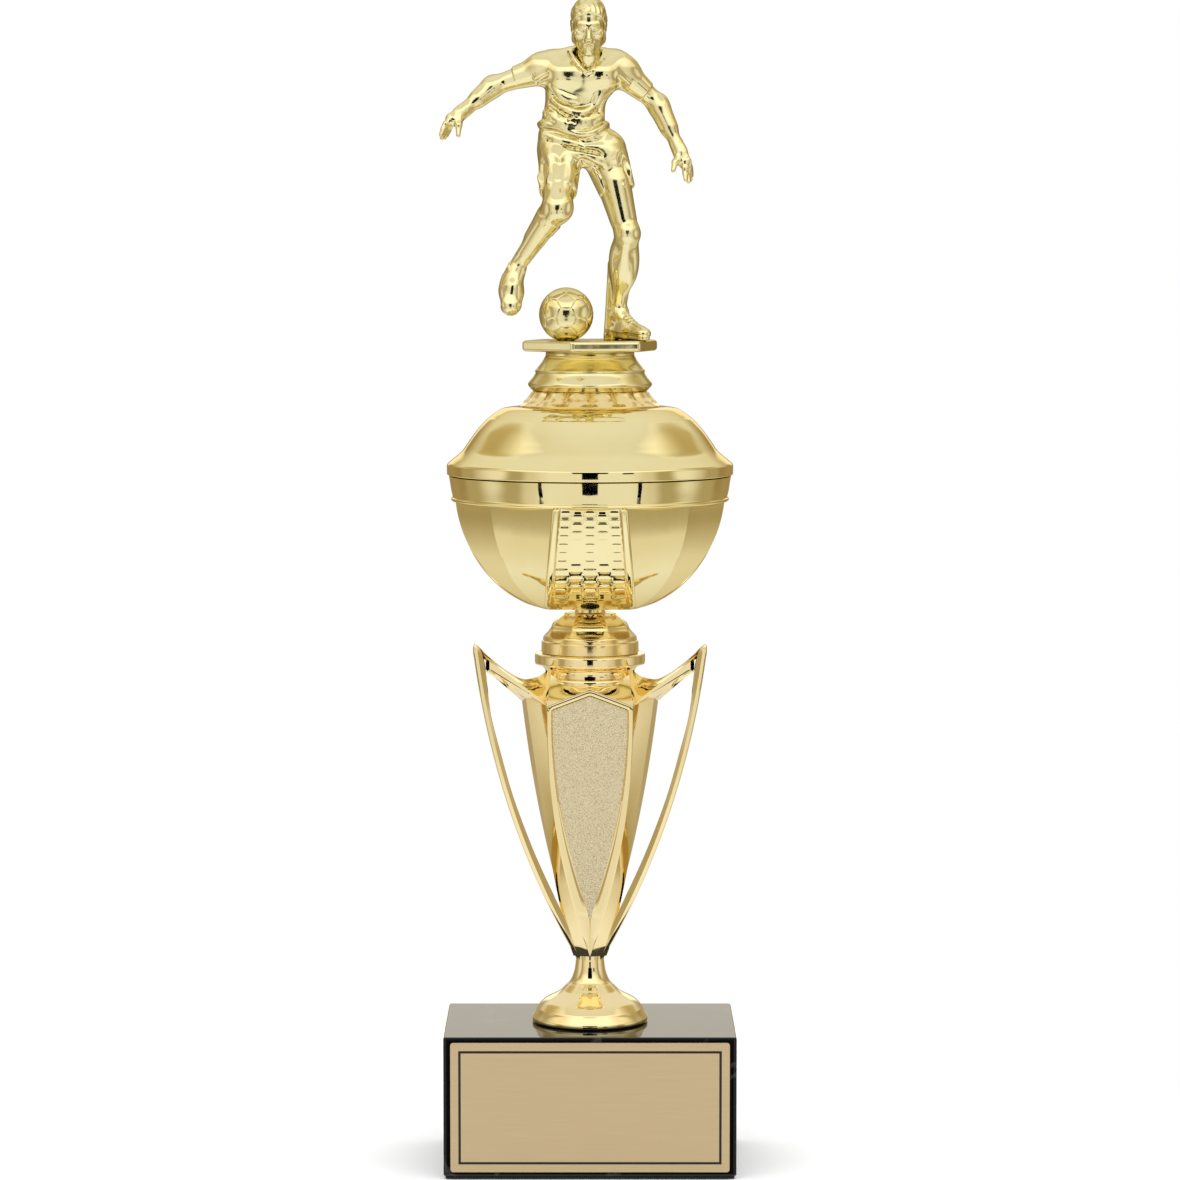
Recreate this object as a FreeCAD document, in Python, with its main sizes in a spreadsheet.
"""Figure trophy: marble base, three-handled riser, lidded cup and player figure, clamped on one tie rod.

Millimetres, +Z up, -Y towards the name plate. The origin is the middle of the felt's lower face,
on the axis of the tie rod.
"""
import FreeCAD, Part
import math
import os
import re
import Sketcher

doc = FreeCAD.newDocument("FigureTrophy")
sheet = doc.addObject("Spreadsheet::Sheet", "Sizes")

SIZES = {
    # Marble base and the felt under it
    "felt_thickness": 1.0,
    "felt_inset": 0.6,
    "base_width": 95.0,
    "base_depth": 60.0,
    "base_height": 45.6,
    "base_edge_radius": 0.8,
    # Name plate and its adhesive tape
    "plate_side_margin": 2.3,
    "plate_edge_margin": 1.6,
    "plate_thickness": 0.5,
    "plate_corner_radius": 0.6,
    "tape_margin": 2.2,
    "tape_thickness": 0.3,
    "rule_inset": 2.3,
    "rule_width": 0.7,
    "rule_depth": 0.15,
    # Tie rod (number 10-24 thread), washer and nuts
    "rod_radius": 2.4,
    "rod_clearance": 0.2,
    "rod_end_chamfer": 0.5,
    "rod_tail": 2.6,
    "recess_radius": 11.0,
    "recess_depth": 14.0,
    "washer_radius": 9.5,
    "washer_clearance": 0.4,
    "washer_thickness": 1.2,
    "nut_corner_radius": 5.5,
    "nut_thickness": 3.2,
    "thread_clearance": 0.05,
    # Riser: foot, stem, neck and flange
    "foot_radius": 19.1,
    "foot_rim": 1.9,
    "foot_bevel": 1.6,
    "foot_shoulder": 4.9,
    "foot_flare_height": 13.3,
    "foot_wall": 1.8,
    "stem_radius": 4.6,
    "stem_height": 20.7,
    "neck_radius": 14.9,
    "neck_ring_proud": 0.6,
    "neck_ring_bottom": 112.3,
    "neck_ring_height": 2.0,
    "flange_reach": 3.2,
    "flange_height": 3.3,
    "flange_flare": 1.6,
    "riser_height": 122.2,
    "riser_wall": 2.0,
    # Riser: three-sided vase, measured up from the foot
    "vase_tip": 18.0,
    "vase_corner": 106.5,
    "vase_apex": 112.0,
    "vase_panel_half_width": 14.0,
    "vase_tip_apothem": 5.2,
    "vase_panel_apothem": 18.6,
    "vase_root_radius": 24.1,
    "panel_frame": 2.3,
    "panel_recess": 0.8,
    # Riser handles
    "handle_thickness": 2.4,
    "handle_bar": 2.5,
    "handle_reach": 43.4,
    "handle_tip": 127.0,
    "handle_bow": 5.8,
    "handle_start": 20.4,
    "handle_saddle_radius": 24.5,
    "handle_saddle": 114.5,
    # Riser cap: band, dome and the bush under the cup
    "cap_set_back": 2.0,
    "cap_band_height": 4.0,
    "cap_dome_inset": 0.5,
    "cap_dome_mid_radius": 13.4,
    "cap_dome_top_radius": 8.5,
    "cap_dome_height": 9.1,
    "cap_wall": 1.8,
    "cap_plug_depth": 4.0,
    "cap_plug_clearance": 0.2,
    "bush_radius": 4.9,
    "bush_height": 1.8,
    # Cup bowl and lid
    "bowl_floor_radius": 16.4,
    "bowl_mid_radius": 36.6,
    "bowl_rim_radius": 45.0,
    "bowl_mid": 14.2,
    "bowl_facets_height": 35.2,
    "bowl_strip_top": 10.8,
    "bowl_strip_bottom": 13.9,
    "bowl_wall": 2.0,
    "band_flare": 1.1,
    "band_foot_inset": 0.1,
    "band_height": 8.2,
    "lid_overhang": 0.7,
    "lid_rim_height": 3.7,
    "lid_step_inset": 1.7,
    "lid_step": 5.0,
    "lid_mid_radius": 38.3,
    "lid_mid": 12.8,
    "lid_top_radius": 28.6,
    "lid_height": 22.4,
    "lid_wall": 1.8,
    "lid_skirt_depth": 3.0,
    "lid_skirt_clearance": 0.3,
    # Fluted adapter between the lid and the pedestal
    "adapter_radius": 22.8,
    "adapter_ledge": 0.4,
    "adapter_height": 5.0,
    # Figure pedestal
    "pedestal_radius": 20.0,
    "pedestal_heel_radius": 18.5,
    "pedestal_rim": 2.4,
    "pedestal_step_radius": 17.3,
    "pedestal_step": 6.0,
    "pedestal_waist_radius": 14.8,
    "pedestal_waist": 9.9,
    "pedestal_top_radius": 14.0,
    "pedestal_height": 13.0,
    "pedestal_wall": 2.0,
    "pedestal_web": 3.0,
    "nut_pocket_clearance": 0.15,
    # Hexagonal plate, player and ball
    "hex_corner_radius": 22.9,
    "hex_turn": 15.0,
    "hex_thickness": 3.6,
    "hex_edge_radius": 1.1,
    "player_height": 109.9,
    "ball_radius": 8.8,
    "ball_left": 7.7,
    "ball_forward": 8.0,
    "ball_flat": 0.4,
    "peg_radius": 1.5,
    "peg_depth": 2.4,
    "peg_clearance": 0.05,
}

for row, (name, number) in enumerate(SIZES.items(), start=1):
    sheet.set(f"A{row}", name)
    sheet.set(f"B{row}", str(number))
    sheet.setAlias(f"B{row}", name)
doc.recompute()

# Levels of the stack, each the seat of the next piece
BASE_TOP = "felt_thickness + base_height"
RISER_TOP = f"{BASE_TOP} + riser_height"
CUP_SEAT = f"{RISER_TOP} + cap_band_height + cap_dome_height + bush_height"
LID_SEAT = f"{CUP_SEAT} + bowl_facets_height + band_height"
ADAPTER_SEAT = f"{LID_SEAT} + lid_height"
PEDESTAL_SEAT = f"{ADAPTER_SEAT} + adapter_height"
PLATE_SEAT = f"{PEDESTAL_SEAT} + pedestal_height"
PLAYER_SEAT = f"{PLATE_SEAT} + hex_thickness"
WASHER_SEAT = "felt_thickness + recess_depth"
FIGURE_NUT_SEAT = f"{PLATE_SEAT} - nut_thickness - nut_pocket_clearance"

# Radii that more than one piece takes
ROD_BORE = "rod_radius + rod_clearance"
FLANGE_RADIUS = "neck_radius + flange_reach"
CAP_BAND_RADIUS = f"{FLANGE_RADIUS} - cap_set_back"
CAP_DOME_BASE = f"{CAP_BAND_RADIUS} - cap_dome_inset"
BAND_RADIUS = "bowl_rim_radius + band_flare"
LID_RADIUS = f"{BAND_RADIUS} + lid_overhang"


def named(expression):
    """The expression with each size name pointing at its cell."""
    return re.sub(r"[a-z][a-z_]*", r"Sizes.\g<0>", expression)


def size(expression):
    """The number that an expression of size names stands for."""
    return float(sheet.evalExpression(named(expression)))


def bind(thing, **expressions):
    """Ties properties to sizes; a double underscore in a name stands for a dot."""
    for name, expression in expressions.items():
        thing.setExpression(name.replace("__", "."), named(expression))
    return thing


def pin_to_origin(sketch, point, across, up):
    """Holds a sketch point at two distances from the origin."""
    edge, end = point
    for kind, axis, distance in (("DistanceX", -2, across), ("DistanceY", -1, up)):
        if distance == "0":
            sketch.addConstraint(Sketcher.Constraint("PointOnObject", edge, end, axis))
            continue
        constraint = Sketcher.Constraint(kind, -1, 1, edge, end, size(distance))
        index = sketch.addConstraint(constraint)
        sketch.setExpression(f"Constraints[{index}]", named(distance))


def draw_outline(sketch, outline):
    """Closed outline of corners (across, up); a third word marks a point that an arc passes through."""
    places = [FreeCAD.Vector(size(across), size(up), 0) for across, up, *_ in outline]
    corners = [index for index, point in enumerate(outline) if len(point) == 2]
    edges = []
    for start, stop in zip(corners, corners[1:] + corners[:1]):
        middle = (start + 1) % len(outline)
        if middle == stop:
            edge = sketch.addGeometry(Part.LineSegment(places[start], places[stop]))
            edges.append((edge, 1, 2))
            continue
        edge = sketch.addGeometry(Part.Arc(places[start], places[middle], places[stop]))
        turn = (places[middle] - places[start]).cross(places[stop] - places[middle]).z
        edges.append((edge, 1, 2) if turn > 0 else (edge, 2, 1))
        through = sketch.addGeometry(Part.Point(places[middle]), True)
        pin_to_origin(sketch, (through, 1), outline[middle][0], outline[middle][1])
        sketch.addConstraint(Sketcher.Constraint("PointOnObject", through, 1, edge))
    for index, (edge, first, last) in enumerate(edges):
        following, its_first, _ = edges[(index + 1) % len(edges)]
        sketch.addConstraint(Sketcher.Constraint("Coincident", edge, last, following, its_first))
        pin_to_origin(sketch, (edge, first), outline[corners[index]][0], outline[corners[index]][1])


def rectangle(left, right, bottom, top):
    """Corners of a rectangle, in order."""
    return [(left, bottom), (right, bottom), (right, top), (left, top)]


def new_body(label):
    return doc.addObject("PartDesign::Body", label)


def new_sketch(body, label, plane, outlines):
    """Sketch with closed outlines on one of the body's own origin planes."""
    sketch = body.newObject("Sketcher::SketchObject", label)
    support = [item for item in body.Origin.OriginFeatures if item.Role == plane]
    sketch.AttachmentSupport = [(support[0], "")]
    sketch.MapMode = "FlatFace"
    for outline in outlines:
        draw_outline(sketch, outline)
    return sketch


def circle_sketch(body, label, radius):
    """Sketch with one circle about the axis."""
    sketch = new_sketch(body, label, "XY_Plane", [])
    circle = sketch.addGeometry(Part.Circle(FreeCAD.Vector(), FreeCAD.Vector(0, 0, 1), size(radius)))
    sketch.addConstraint(Sketcher.Constraint("Coincident", circle, 3, -1, 1))
    index = sketch.addConstraint(Sketcher.Constraint("Radius", circle, size(radius)))
    sketch.setExpression(f"Constraints[{index}]", named(radius))
    return sketch


def turned(label, outline, seat):
    """Body of revolution: the outline gives radii and heights above its seat."""
    body = new_body(label)
    sketch = new_sketch(body, label + "_outline", "XZ_Plane", [outline])
    turning = body.newObject("PartDesign::Revolution", label + "_turning")
    turning.Profile = sketch
    turning.ReferenceAxis = (sketch, ["V_Axis"])
    turning.Angle = 360
    return bind(body, Placement__Base__z=seat)


def cylinder(label, radius, height, seat):
    return bind(doc.addObject("Part::Cylinder", label), Radius=radius, Height=height, Placement__Base__z=seat)


def hexagon_bar(label, corner_radius, height, seat):
    bar = doc.addObject("Part::Prism", label)
    bar.Polygon = 6
    return bind(bar, Circumradius=corner_radius, Height=height, Placement__Base__z=seat)


def joined(label, pieces):
    """One solid from several that meet."""
    fuse = doc.addObject("Part::MultiFuse", label)
    fuse.Shapes = pieces
    return fuse


def cut(label, blank, tool):
    result = doc.addObject("Part::Cut", label)
    result.Base = blank
    result.Tool = tool
    return result


def shaped(label, shape, seat=None):
    """Part::Feature for a form that no primitive or body gives."""
    feature = doc.addObject("Part::Feature", label)
    feature.Shape = shape
    if seat:
        bind(feature, Placement__Base__z=seat)
    return feature


def around(angle, radius, height):
    """Point at an angle from the front (-Y), turning towards +X."""
    turn = math.radians(angle)
    return FreeCAD.Vector(radius * math.sin(turn), -radius * math.cos(turn), height)


def turned_about_axis(shape, angle):
    return shape.rotated(FreeCAD.Vector(), FreeCAD.Vector(0, 0, 1), angle)


def make_base_felt():
    felt = doc.addObject("Part::Box", "base_felt")
    return bind(
        felt,
        Length="base_width - 2 * felt_inset",
        Width="base_depth - 2 * felt_inset",
        Height="felt_thickness",
        Placement__Base__x="felt_inset - base_width / 2",
        Placement__Base__y="felt_inset - base_depth / 2",
    )


def make_marble_base():
    """Block with softened edges, a rod bore and a recess for the washer and nut underneath."""
    body = new_body("marble_base")
    block = rectangle("-base_width / 2", "base_width / 2", "-base_depth / 2", "base_depth / 2")
    pad = body.newObject("PartDesign::Pad", "marble_block")
    pad.Profile = new_sketch(body, "marble_outline", "XY_Plane", [block])
    bind(pad, Length="base_height")
    doc.recompute()
    edges = body.newObject("PartDesign::Fillet", "marble_edges")
    edges.Base = (pad, [f"Edge{number}" for number in range(1, len(pad.Shape.Edges) + 1)])
    bind(edges, Radius="base_edge_radius")
    for label, radius, depth in (
        ("marble_recess", "recess_radius", "recess_depth"),
        ("marble_bore", ROD_BORE, "base_height"),
    ):
        doc.recompute()
        pocket = body.newObject("PartDesign::Pocket", label)
        pocket.Profile = circle_sketch(body, label + "_circle", radius)
        pocket.Reversed = True
        bind(pocket, Length=depth)
    return bind(body, Placement__Base__z="felt_thickness")


def make_name_plate():
    """Thin plate on the front of the base, with a rule line cut inside its edge."""
    body = new_body("name_plate")
    half_width = "base_width / 2 - plate_side_margin"
    bottom = "plate_edge_margin"
    top = "base_height - plate_edge_margin"
    pad = body.newObject("PartDesign::Pad", "plate_sheet")
    sheet_outline = rectangle(f"-({half_width})", half_width, bottom, top)
    pad.Profile = new_sketch(body, "plate_outline", "XZ_Plane", [sheet_outline])
    bind(pad, Length="plate_thickness")
    doc.recompute()
    corners = [
        f"Edge{number}"
        for number, edge in enumerate(pad.Shape.Edges, start=1)
        if abs(edge.tangentAt(edge.FirstParameter).y) > 0.9
    ]
    rounding = body.newObject("PartDesign::Fillet", "plate_corners")
    rounding.Base = (pad, corners)
    bind(rounding, Radius="plate_corner_radius")
    rings = []
    for inset in ("rule_inset", "rule_inset + rule_width"):
        side = f"{half_width} - ({inset})"
        rings.append(rectangle(f"-({side})", side, f"{bottom} + {inset}", f"{top} - ({inset})"))
    groove = body.newObject("PartDesign::Pocket", "plate_rule")
    rule = new_sketch(body, "plate_rule_outline", "XZ_Plane", rings)
    groove.Profile = bind(rule, AttachmentOffset__Base__z="plate_thickness")
    bind(groove, Length="rule_depth")
    return bind(
        body,
        Placement__Base__y="-(base_depth / 2 + tape_thickness)",
        Placement__Base__z="felt_thickness",
    )


def make_plate_tape():
    tape = doc.addObject("Part::Box", "plate_tape")
    return bind(
        tape,
        Length="base_width - 2 * (plate_side_margin + tape_margin)",
        Width="tape_thickness",
        Height="base_height - 2 * (plate_edge_margin + tape_margin)",
        Placement__Base__x="plate_side_margin + tape_margin - base_width / 2",
        Placement__Base__y="-(base_depth / 2 + tape_thickness)",
        Placement__Base__z="felt_thickness + plate_edge_margin + tape_margin",
    )


def make_nut(label, seat, bore):
    blank = hexagon_bar(label + "_blank", "nut_corner_radius", "nut_thickness", seat)
    return cut(label, blank, cylinder(label + "_thread", bore, "nut_thickness", seat))


def make_rod_washer():
    seat = f"{WASHER_SEAT} - washer_thickness"
    blank = cylinder("washer_blank", "washer_radius", "washer_thickness", seat)
    hole = cylinder("washer_hole", "rod_radius + washer_clearance", "washer_thickness", seat)
    return cut("rod_washer", blank, hole)


def make_tie_rod():
    """Threaded rod from below the washer's nut to the top of the nut in the pedestal."""
    bottom = f"{WASHER_SEAT} - washer_thickness - nut_thickness - rod_tail"
    length = f"{FIGURE_NUT_SEAT} + nut_thickness - ({bottom})"
    outline = [
        ("0", "0"),
        ("rod_radius - rod_end_chamfer", "0"),
        ("rod_radius", "rod_end_chamfer"),
        ("rod_radius", f"{length} - rod_end_chamfer"),
        ("rod_radius - rod_end_chamfer", length),
        ("0", length),
    ]
    return turned("tie_rod", outline, bottom)


def make_riser_turning():
    """Foot, stem, neck, ring and flange of the riser as one turned blank."""
    ring_top = "neck_ring_bottom + neck_ring_height"
    flange_bottom = "riser_height - flange_height"
    outline = [
        ("0", "0"),
        ("foot_radius", "0"),
        ("foot_radius", "foot_rim"),
        ("foot_radius - foot_bevel", "foot_shoulder"),
        ("stem_radius + 0.37 * (foot_radius - stem_radius - foot_bevel)", "foot_shoulder + 4.9", "arc"),
        ("stem_radius + 0.4", "foot_shoulder + foot_flare_height"),
        ("stem_radius", "stem_height"),
        ("stem_radius", "vase_tip + stem_height"),
        ("neck_radius - 1", "vase_apex - 3"),
        ("neck_radius + neck_ring_proud", "neck_ring_bottom"),
        ("neck_radius + neck_ring_proud", ring_top),
        ("neck_radius", f"{ring_top} + 0.6"),
        ("neck_radius", f"{flange_bottom} - flange_flare"),
        (FLANGE_RADIUS, flange_bottom),
        (FLANGE_RADIUS, "riser_height"),
        ("0", "riser_height"),
    ]
    return turned("riser_turning", outline, BASE_TOP)


def ruled_loft(sections):
    """Solid through closed polygons, one above the other, with straight edges between them."""
    rings = [Part.makePolygon(section + section[:1]) for section in sections]
    return Part.makeLoft(rings, True, True)


def vase_section(height, half_width, corner_apothem, middle_apothem, root):
    """One level of the vase: three panels facing 0, 120 and 240 degrees, and a root between each pair."""
    spread = math.degrees(math.atan2(half_width, corner_apothem))
    corner = math.hypot(half_width, corner_apothem)
    points = []
    for turn in (0, 120, 240):
        points.append(around(turn - spread, corner, height))
        points.append(around(turn, middle_apothem, height))
        points.append(around(turn + spread, corner, height))
        points.append(around(turn + 60, root, height))
    return points


def vase(inset):
    """The vase between the stem and the neck, taken in by an inset all round."""
    tip = size("vase_tip")
    corner = size("vase_corner")
    steps = 7
    sections = []
    for step in range(steps + 1):
        share = step / steps
        height = tip + (corner - tip) * share
        apothem = size("vase_tip_apothem") + share * size("vase_panel_apothem - vase_tip_apothem")
        half_width = 0.6 + (size("vase_panel_half_width") - 0.6) * (1 - (1 - share) ** 2.1)
        root = size("stem_radius") + size("vase_root_radius - stem_radius") * (0.02 + 0.98 * share) ** 0.72
        root = max(root, 1.12 * apothem)
        half_width = max(0.4, half_width - 0.6 * inset)
        sections.append(vase_section(height, half_width, apothem - inset, apothem - inset, root - inset))
    half_width = size("vase_panel_half_width") / 2
    panel = size("vase_panel_apothem") - inset
    neck = size("neck_radius") - inset
    sections.append(vase_section(size("vase_apex"), half_width, panel - 2, panel, neck + 4))
    sections.append(vase_section(size("neck_ring_bottom + 1"), half_width, 0.86 * neck, neck, neck))
    return ruled_loft(sections)


def panel_prism():
    """Outline of a recessed panel, pushed through the front of the vase."""
    frame = size("panel_frame")
    half_width = size("vase_panel_half_width") - 0.8 * frame
    top = size("vase_corner") - 0.8 * frame
    height = top - size("vase_tip")
    outline = [
        (0, size("vase_apex") - 1.2 * frame),
        (half_width, top),
        (half_width, top - 0.2 * height),
        (0.83 * half_width, top - 0.43 * height),
        (0.56 * half_width, top - 0.59 * height),
        (0, top - 0.8 * height),
    ]
    outline += [(-across, up) for across, up in reversed(outline[1:-1])]
    points = [FreeCAD.Vector(across, 0, up) for across, up in outline]
    face = Part.Face(Part.makePolygon(points + points[:1]))
    return face.extrude(FreeCAD.Vector(0, -2 * size("vase_root_radius"), 0))


def make_riser_skin():
    """Outside of the riser: turned blank and vase, with three recessed panels."""
    skin = vase(0)
    recess = panel_prism().cut(vase(size("panel_recess")))
    for turn in (0, 120, 240):
        skin = skin.cut(turned_about_axis(recess, turn))
    return joined("riser_skin", [make_riser_turning(), shaped("riser_vase", skin, BASE_TOP)])


def make_riser_cavity():
    """Everything inside the riser: hollow foot, rod bore, hollow vase and open neck."""
    foot = [
        ("0", "0"),
        ("foot_radius - foot_wall", "0"),
        ("foot_radius - foot_wall - foot_bevel", "foot_shoulder - foot_wall"),
        (ROD_BORE, "foot_shoulder + foot_wall"),
        (ROD_BORE, "riser_height"),
        ("0", "riser_height"),
    ]
    neck = "neck_radius - riser_wall"
    mouth_floor = "vase_apex - riser_wall"
    mouth = cylinder("riser_mouth", neck, f"riser_height - ({mouth_floor})", f"{BASE_TOP} + {mouth_floor}")
    hollow = vase(size("panel_recess + riser_wall"))
    reach = size("2 * vase_root_radius")
    floor = FreeCAD.Vector(-reach, -reach, size("vase_tip + stem_height"))
    above_stem = Part.makeBox(2 * reach, 2 * reach, size("vase_apex"), floor)
    inside = shaped("vase_hollow", hollow.common(above_stem), BASE_TOP)
    return joined("riser_cavity", [turned("foot_hollow", foot, BASE_TOP), mouth, inside])


def make_riser_handles(skin):
    """Three flat C-shaped handles: a bowed outer bar, a top bar, and both ends fitted to the riser."""
    reach = size("handle_reach")
    tip = size("handle_tip")
    bar = size("handle_bar")
    start = FreeCAD.Vector(size("stem_radius") - 0.6, 0, size("handle_start"))
    shoulder = FreeCAD.Vector(reach - 0.4, 0, tip - 4.9)
    saddle = FreeCAD.Vector(size("handle_saddle_radius"), 0, size("handle_saddle"))
    corner = size("vase_corner")
    run = shoulder - start
    bow = FreeCAD.Vector(run.z, 0, -run.x).normalize() * size("handle_bow")
    outer_middle = start + run * 0.5 + bow
    inner_start = FreeCAD.Vector(start.x - 0.1, 0, start.z + 5)
    inner_top = FreeCAD.Vector(shoulder.x - bar - 1.6, 0, tip - 8.8)
    inner_run = inner_top - inner_start
    inner_middle = inner_start + inner_run * 0.5 + bow.normalize() * (size("handle_bow") - 0.6)
    outline = Part.Wire(
        [
            Part.Arc(start, outer_middle, shoulder).toShape(),
            Part.makePolygon(
                [
                    shoulder,
                    FreeCAD.Vector(reach, 0, tip - 1),
                    FreeCAD.Vector(reach - 0.8, 0, tip),
                    FreeCAD.Vector(reach - 10.4, 0, tip - 8),
                    FreeCAD.Vector(saddle.x + 3.7, 0, saddle.z + 1.5),
                    saddle,
                    FreeCAD.Vector(size("neck_radius") + 1, 0, size("neck_ring_bottom") + 3.4),
                    FreeCAD.Vector(1, 0, size("neck_ring_bottom") + 3.4),
                    FreeCAD.Vector(1, 0, size("handle_start")),
                    start,
                ]
            ),
        ]
    )
    window = Part.Wire(
        [
            Part.Arc(inner_start, inner_middle, inner_top).toShape(),
            Part.makePolygon(
                [
                    inner_top,
                    FreeCAD.Vector(inner_top.x - 1, 0, inner_top.z),
                    FreeCAD.Vector(saddle.x + 3, 0, corner + 4.4),
                    FreeCAD.Vector(saddle.x - 3, 0, corner + 1.5),
                    FreeCAD.Vector(1.2, 0, corner + 1.5),
                    FreeCAD.Vector(1.2, 0, inner_start.z),
                    inner_start,
                ]
            ),
        ]
    )
    thickness = size("handle_thickness")
    blank = Part.Face(outline).cut(Part.Face(window))
    blank = blank.extrude(FreeCAD.Vector(0, thickness, 0))
    blank.translate(FreeCAD.Vector(0, -thickness / 2, 0))
    handles = []
    for name, turn in (("right", 60), ("back", 180), ("left", 300)):
        arm = shaped(f"handle_{name}_blank", turned_about_axis(blank, turn - 90), BASE_TOP)
        handles.append(cut(f"riser_handle_{name}", arm, skin))
    return handles


def make_riser_cap():
    """Hollow dome on the riser's flange, with a plug in the neck and a bush that carries the cup."""
    dome_top = "cap_band_height + cap_dome_height"
    plug = "neck_radius - riser_wall - cap_plug_clearance"
    outline = [
        (ROD_BORE, f"{dome_top} - cap_wall"),
        ("cap_dome_top_radius - cap_wall", f"{dome_top} - cap_wall"),
        ("cap_dome_mid_radius - cap_wall", "cap_band_height + 0.5 * cap_dome_height"),
        (f"{CAP_DOME_BASE} - 2 * cap_wall", "cap_band_height - cap_wall"),
        (f"{plug} - cap_wall", "0"),
        (f"{plug} - cap_wall", "-cap_plug_depth"),
        (plug, "-cap_plug_depth"),
        (plug, "0"),
        (CAP_BAND_RADIUS, "0"),
        (CAP_BAND_RADIUS, "cap_band_height"),
        (CAP_DOME_BASE, "cap_band_height + 0.4"),
        ("cap_dome_mid_radius", "cap_band_height + 0.5 * cap_dome_height", "arc"),
        ("cap_dome_top_radius", dome_top),
        ("bush_radius", dome_top),
        ("bush_radius", f"{dome_top} + bush_height"),
        (ROD_BORE, f"{dome_top} + bush_height"),
    ]
    return turned("riser_cap", outline, RISER_TOP)


def bowl_section(height, corner_radius, strip_half_width):
    """Twelve-sided level of the bowl: three strips at 0, 120 and 240 degrees, and three facets between."""
    strip = math.degrees(math.asin(strip_half_width / corner_radius))
    facet = 60 - (60 - strip) / 3
    points = []
    for turn in (0, 120, 240):
        for angle in (-facet, -strip, strip, facet):
            points.append(around(turn + angle, corner_radius, height))
    return points


def make_bowl_facets():
    """Outer faces of the bowl; the corners follow one arc from the floor to the band."""
    height = size("bowl_facets_height")
    floor = FreeCAD.Vector(size("bowl_floor_radius"), 0, 0)
    middle = FreeCAD.Vector(size("bowl_mid_radius"), size("bowl_mid"), 0)
    rim = FreeCAD.Vector(size("bowl_rim_radius"), height, 0)
    side = Part.Arc(floor, middle, rim)
    first = side.FirstParameter
    steps = 9
    sections = []
    for step in range(steps + 1):
        corner = side.value(first + (side.LastParameter - first) * step / steps)
        share = corner.y / height
        half_width = share * size("bowl_strip_top") + (1 - share) * size("bowl_strip_bottom")
        sections.append(bowl_section(corner.y, corner.x, min(half_width, 0.62 * corner.x)))
    return shaped("bowl_facets", ruled_loft(sections), CUP_SEAT)


def make_bowl_shell():
    """Faceted bowl with a round band at its mouth; the lid's skirt drops inside the band."""
    rim = "bowl_facets_height + band_height"
    band = [
        ("0", "bowl_facets_height - bowl_wall"),
        ("0.9 * bowl_rim_radius", "bowl_facets_height - bowl_wall"),
        ("bowl_rim_radius - band_foot_inset", "bowl_facets_height"),
        (BAND_RADIUS, rim),
        ("0", rim),
    ]
    hollow = [
        ("0", "bowl_wall"),
        ("0.94 * bowl_floor_radius - bowl_wall", "bowl_wall"),
        ("0.94 * bowl_mid_radius - bowl_wall", "bowl_mid", "arc"),
        ("0.97 * bowl_rim_radius - bowl_wall", "bowl_facets_height"),
        (f"{BAND_RADIUS} - bowl_wall", f"{rim} - lid_skirt_depth - bowl_wall"),
        (f"{BAND_RADIUS} - bowl_wall", rim),
        ("0", rim),
    ]
    outside = joined("bowl_outside", [make_bowl_facets(), turned("bowl_band", band, CUP_SEAT)])
    inside = joined(
        "bowl_inside",
        [turned("bowl_hollow", hollow, CUP_SEAT), cylinder("bowl_bore", ROD_BORE, "2 * bowl_wall", CUP_SEAT)],
    )
    return cut("bowl_shell", outside, inside)


def make_bowl_lid():
    """Domed lid: a vertical rim, a step, the dome, and a skirt inside the bowl's band."""
    skirt = f"{BAND_RADIUS} - bowl_wall - lid_skirt_clearance"
    outline = [
        (ROD_BORE, "lid_height - lid_wall"),
        ("lid_top_radius - lid_wall", "lid_height - 2.2 * lid_wall"),
        ("lid_mid_radius - 1.1 * lid_wall", "lid_mid - 0.8 * lid_wall", "arc"),
        (f"{LID_RADIUS} - lid_step_inset - 1.6 * lid_wall", "lid_rim_height - 1.2"),
        (f"{skirt} - lid_wall", "0"),
        (f"{skirt} - lid_wall", "-lid_skirt_depth"),
        (skirt, "-lid_skirt_depth"),
        (skirt, "0"),
        (LID_RADIUS, "0"),
        (LID_RADIUS, "lid_rim_height"),
        (f"{LID_RADIUS} - lid_step_inset", "lid_step"),
        ("lid_mid_radius", "lid_mid", "arc"),
        ("lid_top_radius", "lid_height - 0.7"),
        ("adapter_radius", "lid_height"),
        (ROD_BORE, "lid_height"),
    ]
    return turned("bowl_lid", outline, LID_SEAT)


def make_lid_adapter():
    """Collar between the lid and the figure's pedestal."""
    outline = [
        (ROD_BORE, "0"),
        ("adapter_radius", "0"),
        ("adapter_radius", "0.1 * adapter_height"),
        ("pedestal_heel_radius + adapter_ledge", "adapter_height"),
        (ROD_BORE, "adapter_height"),
    ]
    return turned("lid_adapter", outline, ADAPTER_SEAT)


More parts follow.
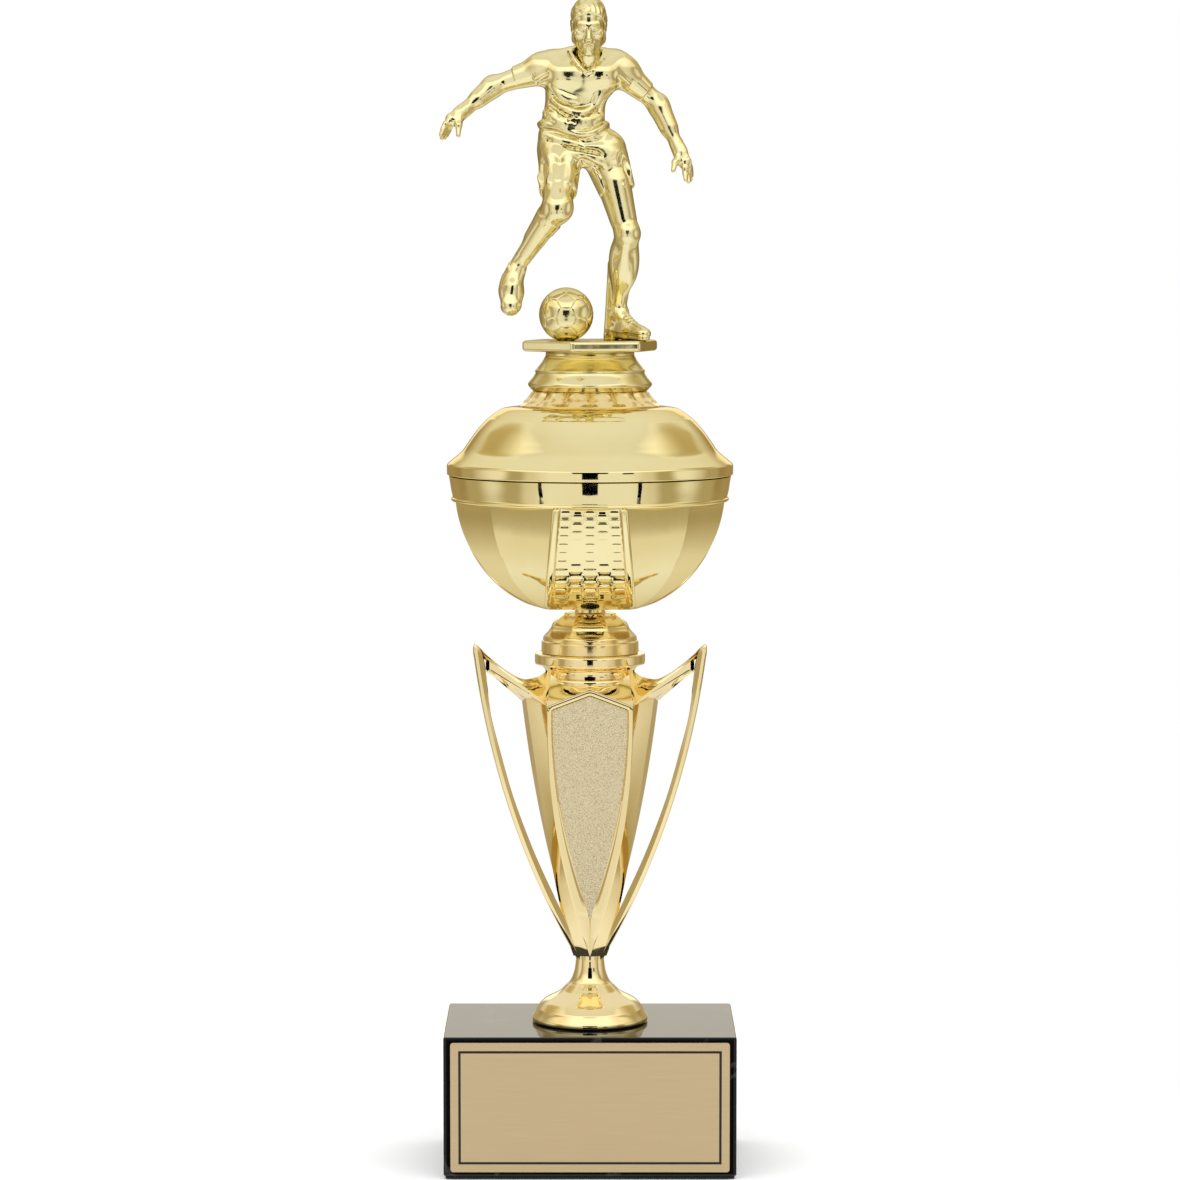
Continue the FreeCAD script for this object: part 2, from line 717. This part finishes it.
def make_figure_pedestal():
    """Hollow round pedestal; its web carries the tie rod's upper nut in a hexagonal pocket."""
    nut_floor = "pedestal_height - nut_thickness - nut_pocket_clearance"
    outline = [
        (ROD_BORE, f"{nut_floor} - pedestal_web"),
        ("pedestal_waist_radius - pedestal_wall - 2", f"{nut_floor} - pedestal_web"),
        ("pedestal_heel_radius - pedestal_wall - 1", "0"),
        ("pedestal_heel_radius", "0"),
        ("pedestal_radius", "pedestal_rim"),
        ("pedestal_radius - 0.6", "pedestal_rim + 1.2"),
        ("pedestal_step_radius", "pedestal_step"),
        ("pedestal_waist_radius + 0.9", "0.6 * pedestal_step + 0.4 * pedestal_waist + 1.2", "arc"),
        ("pedestal_waist_radius", "pedestal_waist"),
        ("pedestal_top_radius", "pedestal_height - 0.8"),
        ("pedestal_top_radius", "pedestal_height"),
        (ROD_BORE, "pedestal_height"),
    ]
    pocket_radius = "nut_corner_radius + nut_pocket_clearance"
    pocket = hexagon_bar("nut_pocket", pocket_radius, "pedestal_height", f"{PEDESTAL_SEAT} + {nut_floor}")
    return cut("figure_pedestal", turned("pedestal_turning", outline, PEDESTAL_SEAT), pocket)


def ball_centre():
    return FreeCAD.Vector(-size("ball_left"), -size("ball_forward"), size("ball_radius - ball_flat"))


def peg(centre, clearance):
    """Upright peg below the feet or the ball, reaching into the plate."""
    radius = size("peg_radius") + clearance
    depth = size("peg_depth") + clearance
    top = size("ball_flat") + 0.6
    return Part.makeCylinder(radius, depth + top, FreeCAD.Vector(centre.x, centre.y, -depth))


def make_figure_plate():
    """Hexagonal plate with rounded edges and a hole for each peg."""
    blank = hexagon_bar("hexagon_blank", "hex_corner_radius", "hex_thickness", "0")
    doc.recompute()
    edges = blank.Shape.Edges
    rounded = blank.Shape.makeFillet(size("hex_edge_radius"), edges)
    rounded.rotate(FreeCAD.Vector(), FreeCAD.Vector(0, 0, 1), size("hex_turn") - 90)
    rounded.translate(FreeCAD.Vector(0, 0, -size("hex_thickness")))
    for centre in (ball_centre(), player_point("heel_right"), player_point("sole_right")):
        rounded = rounded.cut(peg(centre, size("peg_clearance")))
    return shaped("figure_plate", rounded, PLAYER_SEAT)


# Player: joints of the body for a figure 110 mm tall, in mm from the middle of the plate's top
POSE = {
    "crown": (-0.3, -8.6, 103.6),
    "jaw": (-0.2, -10.8, 96.8),
    "neck_top": (-0.4, -7.0, 96.0),
    "neck_root": (-0.8, -2.0, 89.0),
    "collar_left": (-12.6, 0.0, 88.7),
    "collar_right": (8.3, 0.0, 89.3),
    "chest_left": (-7.7, -1.2, 83.5),
    "chest_right": (3.0, -1.2, 83.5),
    "waist_left": (-7.8, 0.8, 71.0),
    "waist_right": (-1.6, 0.8, 71.0),
    "pelvis_left": (-9.0, 1.4, 65.0),
    "pelvis_right": (1.0, 1.4, 65.0),
    "hip_left": (-8.6, 0.4, 62.4),
    "hip_right": (2.8, 1.0, 62.4),
    "knee_left": (-8.5, -14.6, 43.6),
    "ankle_left": (-23.0, -9.4, 25.0),
    "toe_left": (-25.2, -13.8, 12.4),
    "knee_right": (11.8, -4.8, 34.6),
    "ankle_right": (10.2, 3.8, 9.6),
    "heel_right": (8.8, 5.4, 2.6),
    "sole_right": (14.4, -2.4, 2.6),
    "toe_right": (17.6, -7.4, 2.3),
    "shoulder_left": (-14.2, 0.0, 88.8),
    "elbow_left": (-30.6, 1.6, 83.2),
    "wrist_left": (-41.4, -3.0, 73.8),
    "fingers_left": (-47.6, -5.8, 67.4),
    "shoulder_right": (9.8, 0.2, 89.2),
    "elbow_right": (21.2, 2.6, 79.6),
    "wrist_right": (29.0, -2.0, 61.6),
    "fingers_right": (32.4, -3.8, 52.6),
}

# Limbs: two joints and the radius at each
LIMBS = (
    ("crown", 6.1, "jaw", 4.6),
    ("neck_top", 3.0, "neck_root", 3.8),
    ("collar_left", 4.7, "collar_right", 4.9),
    ("chest_left", 7.1, "waist_left", 6.3),
    ("chest_right", 7.2, "waist_right", 6.4),
    ("pelvis_left", 6.6, "pelvis_right", 6.8),
    ("hip_left", 7.3, "knee_left", 5.0),
    ("knee_left", 4.8, "ankle_left", 3.0),
    ("ankle_left", 3.3, "toe_left", 2.5),
    ("hip_right", 7.5, "knee_right", 4.9),
    ("knee_right", 4.7, "ankle_right", 3.0),
    ("ankle_right", 3.2, "heel_right", 3.1),
    ("heel_right", 2.9, "toe_right", 2.5),
    ("shoulder_left", 4.4, "elbow_left", 3.3),
    ("elbow_left", 3.0, "wrist_left", 2.1),
    ("wrist_left", 2.3, "fingers_left", 1.7),
    ("shoulder_right", 4.5, "elbow_right", 3.3),
    ("elbow_right", 3.0, "wrist_right", 2.1),
    ("wrist_right", 2.3, "fingers_right", 1.7),
)


def player_scale():
    return size("player_height") / (POSE["crown"][2] + LIMBS[0][1])


def player_point(joint):
    return FreeCAD.Vector(*POSE[joint]) * player_scale()


def limb(start, start_radius, stop, stop_radius):
    """Tapered limb with round ends, turned about the line from one joint to the next."""
    length = (stop - start).Length
    lean = math.asin((start_radius - stop_radius) / length)
    across = FreeCAD.Vector(math.cos(lean), 0, math.sin(lean))
    halfway = math.radians(-90) / 2 + lean / 2
    lower_middle = FreeCAD.Vector(start_radius * math.cos(halfway), 0, start_radius * math.sin(halfway))
    halfway = math.radians(90) / 2 + lean / 2
    upper_height = length + stop_radius * math.sin(halfway)
    upper_middle = FreeCAD.Vector(stop_radius * math.cos(halfway), 0, upper_height)
    lower_pole = FreeCAD.Vector(0, 0, -start_radius)
    upper_pole = FreeCAD.Vector(0, 0, length + stop_radius)
    lower_edge = across * start_radius
    upper_edge = across * stop_radius + FreeCAD.Vector(0, 0, length)
    outline = Part.Wire(
        [
            Part.Arc(lower_pole, lower_middle, lower_edge).toShape(),
            Part.makeLine(lower_edge, upper_edge),
            Part.Arc(upper_edge, upper_middle, upper_pole).toShape(),
            Part.makeLine(upper_pole, lower_pole),
        ]
    )
    solid = Part.Face(outline).revolve(FreeCAD.Vector(), FreeCAD.Vector(0, 0, 1), 360)
    solid = Part.Solid(solid.Shells[0])
    turn = FreeCAD.Rotation(FreeCAD.Vector(0, 0, 1), stop - start)
    solid.Placement = FreeCAD.Placement(start, turn)
    return solid


def make_player_figure():
    """Player on one leg with the other foot drawn back to the ball, arms out, on two pegs."""
    scale = player_scale()
    limbs = []
    for first, first_radius, last, last_radius in LIMBS:
        limbs.append(limb(player_point(first), first_radius * scale, player_point(last), last_radius * scale))
    heel = player_point("heel_right")
    calf = (player_point("knee_right") + player_point("ankle_right")) * 0.5
    rib = Part.makeBox(1.2 * scale, 5 * scale, calf.z, FreeCAD.Vector(heel.x - 0.6 * scale, heel.y, 0))
    body = limbs[0].fuse(limbs[1:] + [rib])
    reach = size("player_height")
    ground = Part.makeBox(2 * reach, 2 * reach, reach, FreeCAD.Vector(-reach, -reach, -reach))
    body = body.cut(ground)
    body = body.fuse([peg(heel, 0), peg(player_point("sole_right"), 0)])
    return shaped("player_figure", body, PLAYER_SEAT)


def make_soccer_ball():
    """Ball resting on a small flat, with a peg below it."""
    centre = ball_centre()
    radius = size("ball_radius")
    below = FreeCAD.Vector(centre.x - 2 * radius, centre.y - 2 * radius, -4 * radius)
    ground = Part.makeBox(4 * radius, 4 * radius, 4 * radius, below)
    ball = Part.makeSphere(radius, centre).cut(ground).fuse(peg(centre, 0))
    return shaped("soccer_ball", ball, PLAYER_SEAT)


riser_skin = make_riser_skin()
riser_cavity = make_riser_cavity()
riser_body = cut("riser_body", riser_skin, riser_cavity)
doc.recompute()

SUB_PARTS = [
    make_base_felt(),
    make_marble_base(),
    make_name_plate(),
    make_plate_tape(),
    make_rod_washer(),
    make_nut("rod_nut", f"{WASHER_SEAT} - washer_thickness - nut_thickness", "rod_radius + thread_clearance"),
    make_tie_rod(),
    riser_body,
    *make_riser_handles(riser_skin),
    make_riser_cap(),
    make_bowl_shell(),
    make_bowl_lid(),
    make_lid_adapter(),
    make_figure_pedestal(),
    make_nut("figure_nut", FIGURE_NUT_SEAT, ROD_BORE),
    make_figure_plate(),
    make_player_figure(),
    make_soccer_ball(),
]
doc.recompute()

for thing in doc.Objects:
    if "Invalid" in thing.State or "Error" in thing.State:
        raise RuntimeError(f"{thing.Label} did not compute: {thing.State}")

os.makedirs("parts", exist_ok=True)
for part in SUB_PARTS:
    if part.Shape.isNull() or not part.Shape.isValid() or len(part.Shape.Solids) != 1:
        raise RuntimeError(f"{part.Label} is not one valid solid")
    print(f"{part.Label}: {part.Shape.Volume:.1f} mm3")
for part in SUB_PARTS:
    part.Shape.exportStep(f"parts/{part.Label}.step")
